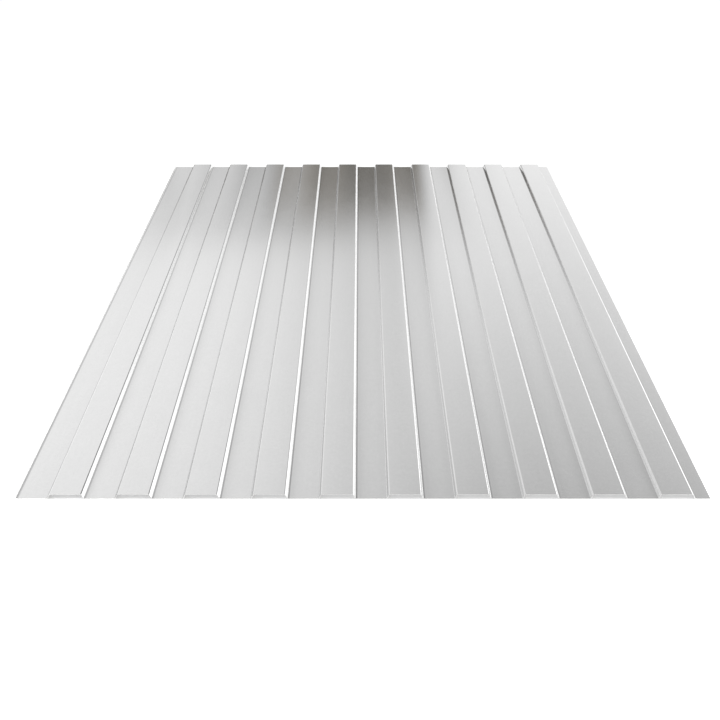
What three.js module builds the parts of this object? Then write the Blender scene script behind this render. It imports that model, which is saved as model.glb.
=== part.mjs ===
// Trapezoidal profiled sheet for roofs, walls and fences: one piece of galvanised steel, roll formed
// into ten low flat-topped ribs. Units are millimetres and +Z is up. The ribs run along Y. The sheet
// lies on the undersides of its troughs at Z = 0, and the origin is there, midway between the two cut
// ends and midway between the two long edges.

import * as THREE from 'three';

// Stock
const sheetLength = 2000;
const thickness = 0.7;

// Ribs: widths and runs lie along the sheet's middle surface, from sharp corner to sharp corner
const ribCount = 10;
const ribTopWidth = 54;
const troughWidth = 53.6;
const flankRun = 3.7;
const profileDepth = 8; // from the top face of a trough to the top face of a rib
const insideBendRadius = 1.6;

// Long edges: the lap trough ends in a low upturned lip, the other edge is a plain flat
const lapTroughWidth = 53.9;
const lipHeight = 3; // of the middle surface, above that of the lap trough
const edgeFlatWidth = 26.4;

// Facets in each half of a bend
const halfBendFacets = 3;

// Middle surface
const troughLevel = thickness / 2;
const ribLevel = troughLevel + profileDepth;
const flankAngle = Math.atan2(profileDepth, flankRun);
const lipRun = lipHeight / Math.tan(flankAngle);
const bendRadius = insideBendRadius + thickness / 2;

// The sharp corners of the middle surface, from the lip's edge across to the plain edge.
function middleCorners() {
  const corners = [new THREE.Vector2(0, troughLevel + lipHeight)];
  const corner = (step, level) => corners.push(new THREE.Vector2(corners.at(-1).x + step, level));
  corner(lipRun, troughLevel);
  for (let rib = 0; rib < ribCount; rib++) {
    corner(rib === 0 ? lapTroughWidth : troughWidth, troughLevel);
    corner(flankRun, ribLevel);
    corner(ribTopWidth, ribLevel);
    corner(flankRun, troughLevel);
  }
  corner(edgeFlatWidth, troughLevel);
  return corners;
}

// The direction from one corner to the next, as an angle above the horizontal.
const heading = (from, to) => Math.atan2(to.y - from.y, to.x - from.x);

// One bend: the arcs of both faces that round a corner share a centre, a bend radius from the stretches
// of middle surface that lead into and out of it.
function bendAt(before, corner, after) {
  const arriving = heading(before, corner);
  const leaving = heading(corner, after);
  const turn = leaving - arriving;
  const side = Math.sign(turn); // 1 where the sheet turns up, with the centre above it
  const setback = bendRadius * Math.tan(Math.abs(turn) / 2);
  const along = new THREE.Vector2(Math.cos(arriving), Math.sin(arriving));
  const upward = new THREE.Vector2(-along.y, along.x);
  const centre = corner.clone().addScaledVector(along, -setback).addScaledVector(upward, side * bendRadius);
  const quarter = (side * Math.PI) / 2;
  return { centre, side, start: arriving - quarter, end: leaving - quarter };
}

// Where the upper (face = 1) or lower (face = -1) face meets the cut edge at a corner.
function edgePoint(corner, angle, face) {
  const reach = (face * thickness) / 2;
  return new THREE.Vector2(corner.x - reach * Math.sin(angle), corner.y + reach * Math.cos(angle));
}

// The closed outline of the section: the lip's cut edge, the upper face across the sheet with each
// bend's two faces on one centre, the plain cut edge, and the lower face back again.
function sheetSection() {
  const corners = middleCorners();
  const bends = corners.slice(1, -1).map((corner, i) => bendAt(corners[i], corner, corners[i + 2]));
  const lipHeading = heading(corners[0], corners[1]);
  const flatHeading = heading(corners.at(-2), corners.at(-1));
  const lipLower = edgePoint(corners[0], lipHeading, -1);
  const section = new THREE.Shape().moveTo(lipLower.x, lipLower.y);
  const lineTo = (point) => section.lineTo(point.x, point.y);

  lineTo(edgePoint(corners[0], lipHeading, 1));
  for (const { centre, side, start, end } of bends) {
    section.absarc(centre.x, centre.y, bendRadius - (side * thickness) / 2, start, end, side < 0);
  }
  lineTo(edgePoint(corners.at(-1), flatHeading, 1));
  lineTo(edgePoint(corners.at(-1), flatHeading, -1));
  for (const { centre, side, start, end } of bends.reverse()) {
    section.absarc(centre.x, centre.y, bendRadius + (side * thickness) / 2, end, start, side > 0);
  }
  section.closePath();
  return section;
}

// The section drawn along the sheet's length, laid flat and centred on the origin.
function sheetGeometry() {
  const geometry = new THREE.ExtrudeGeometry(sheetSection(), {
    depth: sheetLength,
    steps: 1,
    bevelEnabled: false,
    curveSegments: halfBendFacets,
  });
  geometry.rotateX(Math.PI / 2);
  geometry.computeBoundingBox();
  const { min, max } = geometry.boundingBox;
  return geometry.translate(-(min.x + max.x) / 2, sheetLength / 2, 0);
}

const galvanisedSteel = new THREE.MeshStandardMaterial({
  name: 'galvanised_steel',
  color: 0xcfd0d0,
  roughness: 0.3,
  metalness: 1,
});

const sheet = new THREE.Mesh(sheetGeometry(), galvanisedSteel);
sheet.name = 'profiled_sheet';

const part = new THREE.Group();
part.add(sheet);

export default part;
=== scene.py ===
"""Trapezoidal profiled sheet of galvanised steel, lying ribs up on a plain white studio floor."""

import math

import bpy
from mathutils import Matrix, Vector


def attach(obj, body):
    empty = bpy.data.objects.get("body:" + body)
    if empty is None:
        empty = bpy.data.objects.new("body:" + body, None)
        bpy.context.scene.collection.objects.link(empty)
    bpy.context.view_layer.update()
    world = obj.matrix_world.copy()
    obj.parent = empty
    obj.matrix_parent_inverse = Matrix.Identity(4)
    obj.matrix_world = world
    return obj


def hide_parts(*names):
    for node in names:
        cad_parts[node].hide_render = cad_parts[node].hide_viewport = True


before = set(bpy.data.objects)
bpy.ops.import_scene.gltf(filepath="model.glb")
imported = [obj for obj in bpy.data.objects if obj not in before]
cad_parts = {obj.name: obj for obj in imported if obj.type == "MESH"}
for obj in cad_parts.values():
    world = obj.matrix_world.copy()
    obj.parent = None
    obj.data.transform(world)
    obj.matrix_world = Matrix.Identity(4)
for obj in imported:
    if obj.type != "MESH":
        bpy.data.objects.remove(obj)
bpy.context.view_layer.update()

MM = 0.001

# Camera: it looks straight along the ribs and down on the sheet
CAMERA_PLACE = (-4.2 * MM, -2774 * MM, 1089.7 * MM)
CAMERA_PITCH = math.radians(25.08)
FOCAL_LENGTH = 61.07  # in millimetres, as is the width of the film
FILM_WIDTH = 36.0

# Sheet: widths and runs lie along its middle surface, from fold to fold
RIBS = 10
PITCH = 115 * MM
RIB_TOP = 54 * MM
FLANK_RUN = 3.7 * MM
HALF_TROUGH = 26.8 * MM
LAP_TROUGH = 53.9 * MM
EDGE_FLAT = 26.4 * MM
SHEET_CENTRE = 0.1589 * MM
FIRST_RIB = -502.898 * MM  # the middle of the rib nearest the lap edge
LENGTH = 2000 * MM
THICKNESS = 0.7 * MM
DEPTH = 8 * MM  # from the top face of a trough to the top face of a rib
LIP_RUN = 1.3875 * MM
LIP_RISE = 3 * MM
FOLD_SETBACK = 1.247 * MM  # how far a fold's arc reaches into the flats beside it
FOLD_FACETS = 6
RIB_CROWN = 0.20 * MM  # the rolls leave each rib top slightly domed
TROUGH_DISH = 0.24 * MM  # and each trough slightly dished
STRIPS_ACROSS_FLAT = 10
STRIPS_UP_FLANK = 6
STRIPS_ALONG = 40
WAVE_HEIGHT = 0.025 * MM  # of the slow waves that rolled sheet keeps along its length
WAVE_LENGTH = 0.35
SHEARED_CORNER = 0.07 * MM  # the eased corners of the cut edges

# What tells one part of the sheet from another while it is shaped
SAME_PLACE = 0.05 * MM  # places closer than this count as one
MERGE_REACH = 0.01 * MM  # one wave's rim joins the next within this
FOLD_ANGLE = math.radians(20)  # a corner that turns by more than this is rolled to a fold
SHEARED_ANGLE = math.radians(60)  # a corner of the wall that turns by more is a cut edge's
SMOOTH_ANGLE = math.radians(30)  # what turns by less than this is shaded smooth
FLANK_RISE = 0.2 * DEPTH  # an edge that rises more than this runs up a flank or the lip
WIDE_FLAT = 0.8 * RIB_TOP  # a flat wider than this is a rib top or a whole trough
NARROW_FLAT = 0.8 * HALF_TROUGH  # and one between this and that is the plain edge flat
FACING_END = 0.9  # how squarely a face looks along the ribs to be part of a cut end
FACING_SIDE = 0.5  # and how squarely sideways to be part of a long edge's rim
FLAT_WEIGHT = 100  # the flats alone settle the shading where they meet a fold
FLAT_THRESHOLD = 1e-6

# Zinc finish
ZINC = (0.80, 0.80, 0.80)
ZINC_ROUGHNESS = 0.10
ZINC_METAL = 0.85
# Grains: how far each is drawn out along X, Y and Z, its scale, detail and harshness, and how far
# it shifts the finish's tone and its roughness, as a share
STREAKS = ((1, 60, 1), 420, 4.0, 0.6, 0.020, 0.0)
MOTTLE = ((1, 2.2, 1), 26, 4.0, 0.6, 0.022, 0.12)
RIPPLE = ((9, 1, 1), 150, 2.0, 0.5, 0.0, 0.0)
SCRATCHES = ((1, 1, 14), 2600, 3.0, 0.6, 0.25, 0.3)
RIPPLE_HEIGHT = 0.0004 * MM
FLAKE_SCALE = 240  # of the zinc's flakes
FLAKE_TONE = 0.016
FLAKE_GLOSS = 0.06
# Painted shade and dark reflections, as lines along the folds: distance from a rib's middle, depth
# near the lap edge, in the sheet's middle and near the plain edge, and half width
PAINTED_FOLD_SHADE = [
    (-30.5 * MM, (0.46, 0.21, 0.32), 2.4 * MM),
    (-28.4 * MM, (0.70, 0.37, 0.18), 1.9 * MM),
    (26.3 * MM, (0.71, 0.14, 0.12), 1.5 * MM),
    (32.5 * MM, (0.27, 0.46, 0.03), 2.6 * MM),
]
# A painted highlight on one flank of every rib: the same for its place, gain and half width
PAINTED_FLANK_HIGHLIGHT = (29.1 * MM, (0.0, 0.22, 0.21), 2.8 * MM)
PAINTED_LIGHT_REACH = 520 * MM  # how far from the sheet's middle the outer two of the three values of the painted shade and highlight hold
LINE_CORE = 0.3  # the share of a line's half width that has its full depth

# Cut edges: bare steel, sheared
CUT_STEEL = (0.60, 0.595, 0.59)
CUT_ROUGHNESS = 0.2
CUT_METAL = 0.9
CUT_SLOT = 1  # the second of the sheet's two materials

# Floor
FLOOR_SIZE = 40.0
FLOOR_LEVEL = -0.3 * MM
FLOOR_COLOUR = 0.8
FLOOR_GLOW = 0.62
CONTACT_REACH = 0.05  # how far the shade of what lies on the floor carries
CONTACT_EDGE = (0.45, 0.70)  # the floor's openness where that shade is full and where it ends
CONTACT_TONE = 0.66  # the tone left under it
CONTACT_SAMPLES = 8

# Lamps: place, target, power in watts, width and height
LAMPS = {
    "left_softbox": ((-1.6, -0.9, 0.65), (0, -0.3, 0), 41, (1.0, 0.6)),
    "right_softbox": ((1.7, -1.0, 0.65), (0, -0.3, 0), 20, (1.0, 0.6)),
}

# Surroundings seen in the metal, in degrees: azimuth clockwise from the direction of the ribs, and
# elevation. A patch is its strength and its left, right, lower and upper edges, each given as
# where the patch starts and where it is full. A flag takes that share away from the tent, and a
# panel adds to it.
TENT = 1.26
AMBIENT = 0.5
SHADE_TINT = (1.10, 1.0, 0.84)  # of what the tent shows where it is dark
SHADE_TINT_REACH = (0.08, 0.5)
BELOW = (-30, -20)
ABOVE = (95, 94)
ALL_LEFT = (-301, -300)
ALL_RIGHT = (301, 300)
FLAGS = [
    (0.83, (-6.7, 0.4), (4.2, 1.9), BELOW, (18.80, 17.76)),
    (0.64, (-15.6, 1.0), (8.4, -4.5), BELOW, (19.54, 19.14)),
    (0.36, (-10.0, 3.4), (4.1, 1.9), (18.75, 19.34), (34.5, 10.5)),
    (0.72, (-28.2, 13.7), (80.0, 60.0), (3.1, 39.7), (54.0, 40.0)),
    (0.41, (-60.0, -50.0), (0.8, -30.9), (6.9, 19.0), (54.0, 40.0)),
    (0.95, (-27.4, -16.2), (-1.4, -7.3), BELOW, (11.0, 5.1)),
    (0.81, (6.7, 8.5), (23.9, 16.6), BELOW, (7.7, 4.0)),
    (0.95, (-20.5, -14.2), (-8.50, -9.25), BELOW, (21.4, 3.2)),
    (0.40, (48.0, 66.0), ALL_RIGHT, BELOW, ABOVE),
    (0.40, ALL_LEFT, (-48.0, -66.0), BELOW, ABOVE),
    (0.42, ALL_LEFT, ALL_RIGHT, (37.0, 50.0), ABOVE),
    (0.45, (95.0, 120.0), (165.0, 135.0), BELOW, (30.0, 8.0)),
    (0.30, (-170.0, -150.0), (-100.0, -125.0), BELOW, (40.0, 12.0)),
]
PANELS = [
    (0.22, (-95.0, -85.0), (-60.0, -75.0), (4.0, 12.0), (34.0, 22.0)),
    (0.83, (13.69, 14.78), (40.5, 26.7), (7.3, 14.9), (22.6, 19.3)),
    (0.60, (24.3, 30.1), (75.0, 60.0), (-0.55, 0.86), (22.8, 10.4)),
    (1.00, (10.1, 10.8), (14.5, 13.7), (8.3, 12.4), (15.2, 14.5)),
]

# The inputs of the grain group: the place, and then a grain's values in their order
GRAIN_INPUTS = [
    ("Place", "NodeSocketVector"),
    ("Stretch", "NodeSocketVector"),
    ("Scale", "NodeSocketFloat"),
    ("Detail", "NodeSocketFloat"),
    ("Harshness", "NodeSocketFloat"),
    ("Tone Swing", "NodeSocketFloat"),
    ("Roughness Swing", "NodeSocketFloat"),
]
# A Mix node's sockets for colours, whose names are also those of its sockets for numbers
COLOUR_A, COLOUR_B, COLOUR_RESULT = 6, 7, 2


def add_math(tree, operation, *values):
    """A Math node; each value is a number or a socket. Returns its output socket."""
    node = tree.nodes.new("ShaderNodeMath")
    node.operation = operation
    for socket, value in zip(node.inputs, values):
        if isinstance(value, bpy.types.NodeSocket):
            tree.links.new(value, socket)
        else:
            socket.default_value = value
    return node.outputs[0]


def smooth_step(tree, value, start, full):
    """0 at start and 1 at full, whichever of the two is the larger."""
    node = tree.nodes.new("ShaderNodeMapRange")
    node.interpolation_type = "SMOOTHSTEP"
    tree.links.new(value, node.inputs["Value"])
    node.inputs["From Min"].default_value = min(start, full)
    node.inputs["From Max"].default_value = max(start, full)
    node.inputs["To Min"].default_value = 0.0 if start < full else 1.0
    node.inputs["To Max"].default_value = 1.0 if start < full else 0.0
    return node.outputs["Result"]


def patch(tree, azimuth, elevation, left, right, lower, upper):
    """A soft-edged patch of the surroundings."""
    mask = smooth_step(tree, azimuth, *left)
    for value, edge in ((azimuth, right), (elevation, lower), (elevation, upper)):
        mask = add_math(tree, "MULTIPLY", mask, smooth_step(tree, value, *edge))
    return mask


def set_world():
    """A white tent: plain to all that is matt, and with flags and panels to what is metal."""
    world = bpy.data.worlds.new("studio")
    bpy.context.scene.world = world
    world.use_nodes = True
    tree = world.node_tree
    background = tree.nodes["Background"]
    split = tree.nodes.new("ShaderNodeSeparateXYZ")
    tree.links.new(tree.nodes.new("ShaderNodeTexCoord").outputs["Generated"], split.inputs[0])
    x, y, z = split.outputs
    azimuth = add_math(tree, "DEGREES", add_math(tree, "ARCTAN2", x, y))
    elevation = add_math(tree, "DEGREES", add_math(tree, "ARCSINE", z))
    level = TENT
    for depth, *edges in FLAGS:
        mask = patch(tree, azimuth, elevation, *edges)
        kept = add_math(tree, "SUBTRACT", 1.0, add_math(tree, "MULTIPLY", mask, depth))
        level = add_math(tree, "MULTIPLY", level, kept)
    for strength, *edges in PANELS:
        mask = patch(tree, azimuth, elevation, *edges)
        level = add_math(tree, "MULTIPLY_ADD", mask, strength, level)
    path = tree.nodes.new("ShaderNodeLightPath")
    seen, through = path.outputs["Is Camera Ray"], path.outputs["Is Transmission Ray"]
    white = add_math(tree, "MAXIMUM", seen, through)
    in_metal = tree.nodes.new("ShaderNodeMix")
    tree.links.new(path.outputs["Is Glossy Ray"], in_metal.inputs["Factor"])
    in_metal.inputs["A"].default_value = AMBIENT
    tree.links.new(level, in_metal.inputs["B"])
    shown = tree.nodes.new("ShaderNodeMix")
    tree.links.new(white, shown.inputs["Factor"])
    tree.links.new(in_metal.outputs["Result"], shown.inputs["A"])
    shown.inputs["B"].default_value = 1.0
    tree.links.new(shown.outputs["Result"], background.inputs["Strength"])
    tint = tree.nodes.new("ShaderNodeMix")
    tint.data_type = "RGBA"
    plain = add_math(tree, "SUBTRACT", 1.0, path.outputs["Is Glossy Ray"])
    light = smooth_step(tree, level, *SHADE_TINT_REACH)
    tree.links.new(add_math(tree, "MAXIMUM", plain, light), tint.inputs["Factor"])
    tint.inputs[COLOUR_A].default_value = (*SHADE_TINT, 1)
    tint.inputs[COLOUR_B].default_value = (1, 1, 1, 1)
    tree.links.new(tint.outputs[COLOUR_RESULT], background.inputs["Color"])


def add_lamp(name, place, target, power, size):
    data = bpy.data.lights.new(name, "AREA")
    data.shape = "RECTANGLE"
    data.size, data.size_y = size
    data.energy = power
    lamp = bpy.data.objects.new(name, data)
    lamp.location = place
    lamp.rotation_euler = (Vector(target) - Vector(place)).to_track_quat("-Z", "Y").to_euler()
    lamp.visible_glossy = False
    lamp.visible_camera = False
    bpy.context.collection.objects.link(lamp)


def add_camera():
    data = bpy.data.cameras.new("studio_camera")
    data.sensor_width = FILM_WIDTH
    data.lens = FOCAL_LENGTH
    camera = bpy.data.objects.new("studio_camera", data)
    camera.location = CAMERA_PLACE
    camera.rotation_euler = (math.pi / 2 - CAMERA_PITCH, 0, 0)
    bpy.context.collection.objects.link(camera)
    bpy.context.scene.camera = camera


def add_floor():
    """A white floor: mostly lit, with a share of plain white to match the background."""
    bpy.ops.object.select_all(action="DESELECT")
    bpy.ops.mesh.primitive_plane_add(size=FLOOR_SIZE, location=(0, 0, FLOOR_LEVEL))
    floor = bpy.context.object
    floor.name = "studio_floor"
    material = bpy.data.materials.new("white_floor")
    material.use_nodes = True
    tree = material.node_tree
    shader = tree.nodes["Principled BSDF"]
    shader.inputs["Roughness"].default_value = 1.0
    shader.inputs["Specular IOR Level"].default_value = 0.0
    shader.inputs["Emission Color"].default_value = (1, 1, 1, 1)
    nearby = tree.nodes.new("ShaderNodeAmbientOcclusion")
    nearby.samples = CONTACT_SAMPLES
    nearby.inputs["Distance"].default_value = CONTACT_REACH
    clear = smooth_step(tree, nearby.outputs["AO"], *CONTACT_EDGE)
    contact = add_math(tree, "MULTIPLY_ADD", clear, 1 - CONTACT_TONE, CONTACT_TONE)
    colour = tree.nodes.new("ShaderNodeVectorMath")
    colour.operation = "SCALE"
    colour.inputs[0].default_value = (FLOOR_COLOUR, FLOOR_COLOUR, FLOOR_COLOUR)
    tree.links.new(contact, colour.inputs["Scale"])
    tree.links.new(colour.outputs[0], shader.inputs["Base Color"])
    path = tree.nodes.new("ShaderNodeLightPath")
    seen = add_math(tree, "MAXIMUM", path.outputs["Is Camera Ray"], path.outputs["Is Glossy Ray"])
    seen = add_math(tree, "MAXIMUM", seen, path.outputs["Is Transmission Ray"])
    glow = add_math(tree, "MULTIPLY", contact, FLOOR_GLOW)
    tree.links.new(add_math(tree, "MULTIPLY", seen, glow), shader.inputs["Emission Strength"])
    floor.data.materials.append(material)


def new_material(name):
    material = bpy.data.materials.new(name)
    material.use_nodes = True
    tree = material.node_tree
    place = tree.nodes.new("ShaderNodeTexCoord").outputs["Object"]
    return material, tree, tree.nodes["Principled BSDF"], place


def swing(tree, value, amount):
    """1 where the value is a half, and up to the amount more or less as it nears 1 or 0."""
    share = add_math(tree, "MULTIPLY_ADD", value, 2.0, -1.0)
    return add_math(tree, "MULTIPLY_ADD", share, amount, 1.0)


def grain_group():
    """Noise, drawn out along each axis, with the shifts of tone and of roughness that it gives."""
    group = bpy.data.node_groups.new("grain", "ShaderNodeTree")
    for name, kind in GRAIN_INPUTS:
        group.interface.new_socket(name, in_out="INPUT", socket_type=kind)
    for name in ("Grain", "Tone", "Roughness"):
        group.interface.new_socket(name, in_out="OUTPUT", socket_type="NodeSocketFloat")
    given = group.nodes.new("NodeGroupInput").outputs
    result = group.nodes.new("NodeGroupOutput").inputs
    drawn = group.nodes.new("ShaderNodeVectorMath")
    drawn.operation = "DIVIDE"
    group.links.new(given["Place"], drawn.inputs[0])
    group.links.new(given["Stretch"], drawn.inputs[1])
    noise = group.nodes.new("ShaderNodeTexNoise")
    group.links.new(drawn.outputs[0], noise.inputs["Vector"])
    for name in ("Scale", "Detail"):
        group.links.new(given[name], noise.inputs[name])
    group.links.new(given["Harshness"], noise.inputs["Roughness"])
    value = noise.outputs["Fac"]
    group.links.new(value, result["Grain"])
    group.links.new(swing(group, value, given["Tone Swing"]), result["Tone"])
    group.links.new(swing(group, value, given["Roughness Swing"]), result["Roughness"])
    return group


def add_grain(tree, place, grain):
    """The grain group placed in a material with a grain's values. Returns its outputs."""
    node = tree.nodes.new("ShaderNodeGroup")
    node.node_tree = bpy.data.node_groups.get("grain") or grain_group()
    tree.links.new(place, node.inputs["Place"])
    for (name, _), value in zip(GRAIN_INPUTS[1:], grain):
        node.inputs[name].default_value = value
    return node.outputs


def line_mask(tree, across, distance, half_width):
    """A soft line along every rib, at a distance from the rib's middle."""
    away = add_math(tree, "ABSOLUTE", add_math(tree, "SUBTRACT", across, distance))
    return smooth_step(tree, away, half_width, LINE_CORE * half_width)


def between_edges(tree, x, lap_side, middle, plain_side):
    """A value that runs evenly from the lap side to the middle, and on to the plain side."""
    parts = []
    to_middle = (-PAINTED_LIGHT_REACH, 0), (lap_side, middle)
    from_middle = (0, PAINTED_LIGHT_REACH), (0, plain_side - middle)
    for ends, values in (to_middle, from_middle):
        node = tree.nodes.new("ShaderNodeMapRange")
        tree.links.new(x, node.inputs["Value"])
        node.inputs["From Min"].default_value, node.inputs["From Max"].default_value = ends
        node.inputs["To Min"].default_value, node.inputs["To Max"].default_value = values
        parts.append(node.outputs["Result"])
    return add_math(tree, "ADD", *parts)


def galvanised_steel():
    material, tree, shader, place = new_material("galvanised_steel")
    split = tree.nodes.new("ShaderNodeSeparateXYZ")
    tree.links.new(place, split.inputs[0])
    x = split.outputs["X"]
    from_rib = add_math(tree, "SUBTRACT", x, FIRST_RIB)
    across = add_math(tree, "WRAP", from_rib, PITCH / 2, -PITCH / 2)

    tone = 1.0
    # painted shade and dark reflections along the folds, darkening the zinc's colour
    for distance, depths, half_width in PAINTED_FOLD_SHADE:
        mask = line_mask(tree, across, distance, half_width)
        painted_shade = add_math(tree, "MULTIPLY", mask, between_edges(tree, x, *depths))
        tone = add_math(tree, "MULTIPLY", tone, add_math(tree, "SUBTRACT", 1.0, painted_shade))
    # a painted highlight on one flank of every rib, brightening the zinc's colour
    distance, gains, half_width = PAINTED_FLANK_HIGHLIGHT
    mask = line_mask(tree, across, distance, half_width)
    painted_highlight = add_math(tree, "MULTIPLY_ADD", mask, between_edges(tree, x, *gains), 1.0)
    tone = add_math(tree, "MULTIPLY", tone, painted_highlight)

    streaks = add_grain(tree, place, STREAKS)
    mottle = add_grain(tree, place, MOTTLE)
    ripple = add_grain(tree, place, RIPPLE)
    flakes = tree.nodes.new("ShaderNodeTexVoronoi")
    flakes.inputs["Scale"].default_value = FLAKE_SCALE
    tree.links.new(place, flakes.inputs["Vector"])
    flake_parts = tree.nodes.new("ShaderNodeSeparateColor")
    tree.links.new(flakes.outputs["Color"], flake_parts.inputs[0])
    flake = flake_parts.outputs[0]
    for shift in (streaks["Tone"], mottle["Tone"], swing(tree, flake, FLAKE_TONE)):
        tone = add_math(tree, "MULTIPLY", tone, shift)

    colour = tree.nodes.new("ShaderNodeVectorMath")
    colour.operation = "SCALE"
    colour.inputs[0].default_value = ZINC
    tree.links.new(tone, colour.inputs["Scale"])
    tree.links.new(colour.outputs[0], shader.inputs["Base Color"])
    shift = add_math(tree, "MULTIPLY", mottle["Roughness"], swing(tree, flake, FLAKE_GLOSS))
    rough = add_math(tree, "MULTIPLY", shift, ZINC_ROUGHNESS)
    tree.links.new(rough, shader.inputs["Roughness"])
    shader.inputs["Metallic"].default_value = ZINC_METAL
    bump = tree.nodes.new("ShaderNodeBump")
    bump.inputs["Distance"].default_value = RIPPLE_HEIGHT
    tree.links.new(ripple["Grain"], bump.inputs["Height"])
    tree.links.new(bump.outputs["Normal"], shader.inputs["Normal"])
    return material


def cut_steel():
    material, tree, shader, place = new_material("cut_steel")
    scratches = add_grain(tree, place, SCRATCHES)
    colour = tree.nodes.new("ShaderNodeVectorMath")
    colour.operation = "SCALE"
    colour.inputs[0].default_value = CUT_STEEL
    tree.links.new(scratches["Tone"], colour.inputs["Scale"])
    tree.links.new(colour.outputs[0], shader.inputs["Base Color"])
    rough = add_math(tree, "MULTIPLY", scratches["Roughness"], CUT_ROUGHNESS)
    tree.links.new(rough, shader.inputs["Roughness"])
    shader.inputs["Metallic"].default_value = CUT_METAL
    return material


def pick(piece, kind, test):
    """Selects only the vertices, edges or faces that pass the test, and goes to edit mode."""
    bpy.ops.object.mode_set(mode="EDIT")
    modes = {"vertices": "VERT", "edges": "EDGE", "polygons": "FACE"}
    bpy.ops.mesh.select_mode(type=modes[kind])
    bpy.ops.mesh.select_all(action="DESELECT")
    bpy.ops.object.mode_set(mode="OBJECT")
    mesh = piece.data
    for item in getattr(mesh, kind):
        if kind == "vertices":
            item.select = test(item.co)
        elif kind == "edges":
            start, end = (mesh.vertices[i].co for i in item.vertices)
            item.select = test((start + end) / 2, end - start)
        else:
            item.select = test(item.center, item.normal)
    bpy.ops.object.mode_set(mode="EDIT")


def pull(x, z):
    bpy.ops.mesh.extrude_region_move(TRANSFORM_OT_translate={"value": (x, 0, z)})


def near(value, target):
    return abs(value - target) < SAME_PLACE


def reach_of(piece):
    """The least and greatest X of a piece."""
    places = [vertex.co.x for vertex in piece.data.vertices]
    return min(places), max(places)


def apply_modifier(piece, name, kind, **settings):
    modifier = piece.modifiers.new(name, kind)
    for key, value in settings.items():
        setattr(modifier, key, value)
    bpy.ops.object.modifier_apply(modifier=modifier.name)


def one_wave():
    """A rib top with its flanks and half a trough to either side, at the first rib's place."""
    bpy.ops.object.select_all(action="DESELECT")
    bpy.ops.mesh.primitive_plane_add(size=1, location=(0, 0, 0))
    sheet = bpy.context.object
    sheet.name = "galvanised_sheet"
    bpy.ops.object.mode_set(mode="EDIT")
    bpy.ops.transform.resize(value=(RIB_TOP, LENGTH, 1))
    bpy.ops.transform.translate(value=(0, 0, THICKNESS / 2 + DEPTH))
    for side in (-1, 1):
        pick(sheet, "edges", lambda middle, along: near(middle.x, side * RIB_TOP / 2))
        pull(side * FLANK_RUN, -DEPTH)
        pull(side * HALF_TROUGH, 0)
    bpy.ops.object.mode_set(mode="OBJECT")
    return sheet


def add_long_edges(sheet):
    """The lap edge carried out to its upturned lip, and the plain edge drawn in to its flat."""
    left, right = reach_of(sheet)
    pick(sheet, "edges", lambda middle, along: near(middle.x, left))
    bpy.ops.transform.translate(value=(HALF_TROUGH - LAP_TROUGH, 0, 0))
    pull(-LIP_RUN, LIP_RISE)
    pick(sheet, "edges", lambda middle, along: near(middle.x, right))
    bpy.ops.transform.translate(value=(EDGE_FLAT - HALF_TROUGH, 0, 0))
    bpy.ops.object.mode_set(mode="OBJECT")
    shift = SHEET_CENTRE - sum(reach_of(sheet)) / 2
    bpy.ops.object.mode_set(mode="EDIT")
    bpy.ops.mesh.select_all(action="SELECT")
    bpy.ops.transform.translate(value=(shift, 0, 0))


def fold(sheet):
    """The sharp corners rolled to an arc, and the flats between them parted into strips."""
    bpy.ops.mesh.select_mode(type="EDGE")
    bpy.ops.mesh.select_all(action="DESELECT")
    bpy.ops.mesh.edges_select_sharp(sharpness=FOLD_ANGLE)
    bpy.ops.mesh.bevel(
        offset=FOLD_SETBACK,
        offset_type="OFFSET",
        segments=FOLD_FACETS,
        profile=0.5,
        affect="EDGES",
    )
    pick(sheet, "edges", lambda middle, along: abs(along.z) > FLANK_RISE)
    bpy.ops.mesh.subdivide(number_cuts=STRIPS_UP_FLANK - 1)
    pick(sheet, "edges", lambda middle, along: abs(along.x) > WIDE_FLAT)
    bpy.ops.mesh.subdivide(number_cuts=STRIPS_ACROSS_FLAT - 1)
    pick(sheet, "edges", lambda middle, along: NARROW_FLAT < abs(along.x) < WIDE_FLAT)
    bpy.ops.mesh.subdivide(number_cuts=STRIPS_ACROSS_FLAT // 2 - 1)


def relax_flats(sheet):
    """The spring left in rolled sheet: rib tops slightly domed and troughs slightly dished."""
    ribs = [FIRST_RIB + PITCH * n for n in range(RIBS)]
    troughs = [rib + PITCH / 2 for rib in ribs[:-1]]
    for middles, change in ((ribs, RIB_CROWN), (troughs, -TROUGH_DISH)):
        pick(sheet, "vertices", lambda place: any(near(place.x, x) for x in middles))
        bpy.ops.transform.translate(
            value=(0, 0, change),
            use_proportional_edit=True,
            proportional_edit_falloff="INVERSE_SQUARE",
            proportional_size=RIB_TOP / 2 - FOLD_SETBACK,
        )


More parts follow.
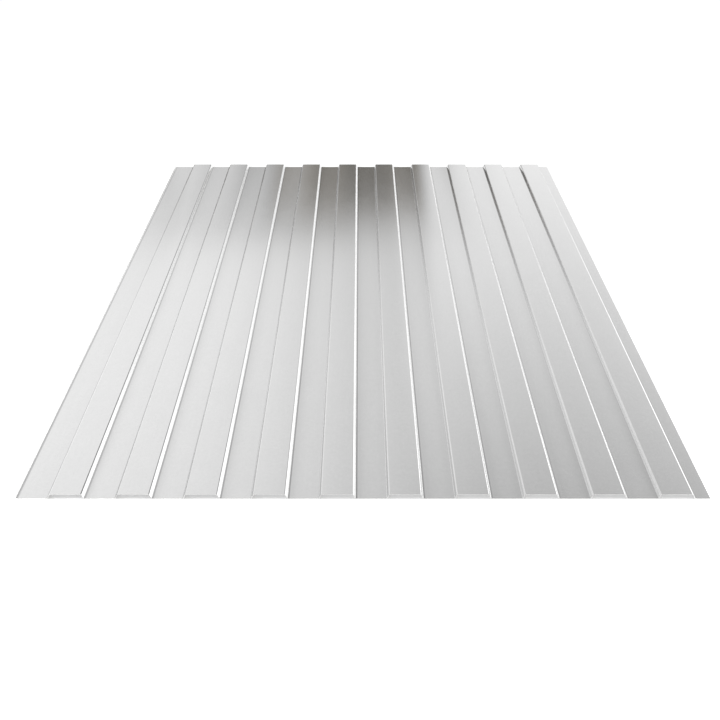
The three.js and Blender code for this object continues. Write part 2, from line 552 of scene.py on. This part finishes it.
def shear(sheet):
    """Zinc all over, but bare steel with eased corners on the ends and the long edges' rims."""
    sheet.data.materials.append(galvanised_steel())
    sheet.data.materials.append(cut_steel())
    left, right = reach_of(sheet)

    def is_cut(middle, normal):
        on_rim = min(middle.x - left, right - middle.x) < THICKNESS / 2
        return abs(normal.y) > FACING_END or (on_rim and abs(normal.x) > FACING_SIDE)

    pick(sheet, "polygons", is_cut)
    sheet.active_material_index = CUT_SLOT
    bpy.ops.object.material_slot_assign()
    bpy.ops.mesh.select_mode(type="EDGE")
    bpy.ops.mesh.select_all(action="DESELECT")
    bpy.ops.mesh.edges_select_sharp(sharpness=SHEARED_ANGLE)
    bpy.ops.mesh.bevel(
        offset=SHEARED_CORNER,
        offset_type="OFFSET",
        segments=1,
        affect="EDGES",
        material=CUT_SLOT,
    )
    bpy.ops.object.mode_set(mode="OBJECT")


def profiled_sheet():
    """One wave repeated, carried on to both long edges, folded, and given its wall and finish."""
    sheet = one_wave()
    apply_modifier(
        sheet,
        "waves",
        "ARRAY",
        count=RIBS,
        use_relative_offset=False,
        use_constant_offset=True,
        constant_offset_displace=(PITCH, 0, 0),
        use_merge_vertices=True,
        merge_threshold=MERGE_REACH,
    )
    add_long_edges(sheet)
    fold(sheet)
    relax_flats(sheet)
    pick(sheet, "edges", lambda middle, along: abs(along.y) > LENGTH / 2)
    bpy.ops.mesh.subdivide(number_cuts=STRIPS_ALONG - 1)
    bpy.ops.object.mode_set(mode="OBJECT")

    clouds = bpy.data.textures.new("slow_waves", "CLOUDS")
    clouds.noise_scale = WAVE_LENGTH
    apply_modifier(
        sheet,
        "slow_waves",
        "DISPLACE",
        texture=clouds,
        texture_coords="LOCAL",
        direction="Z",
        strength=WAVE_HEIGHT,
        mid_level=0.5,
    )
    apply_modifier(sheet, "wall", "SOLIDIFY", thickness=THICKNESS, offset=0, use_even_offset=True)

    shear(sheet)
    bpy.ops.object.shade_smooth_by_angle(angle=SMOOTH_ANGLE)
    apply_modifier(
        sheet,
        "true_flats",
        "WEIGHTED_NORMAL",
        weight=FLAT_WEIGHT,
        thresh=FLAT_THRESHOLD,
        keep_sharp=True,
    )
    return sheet


add_camera()
add_floor()
for name, settings in LAMPS.items():
    add_lamp(name, *settings)
set_world()

sheet = profiled_sheet()
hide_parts("profiled_sheet")
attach(sheet, "root")

bpy.context.scene.view_settings.view_transform = "Standard"
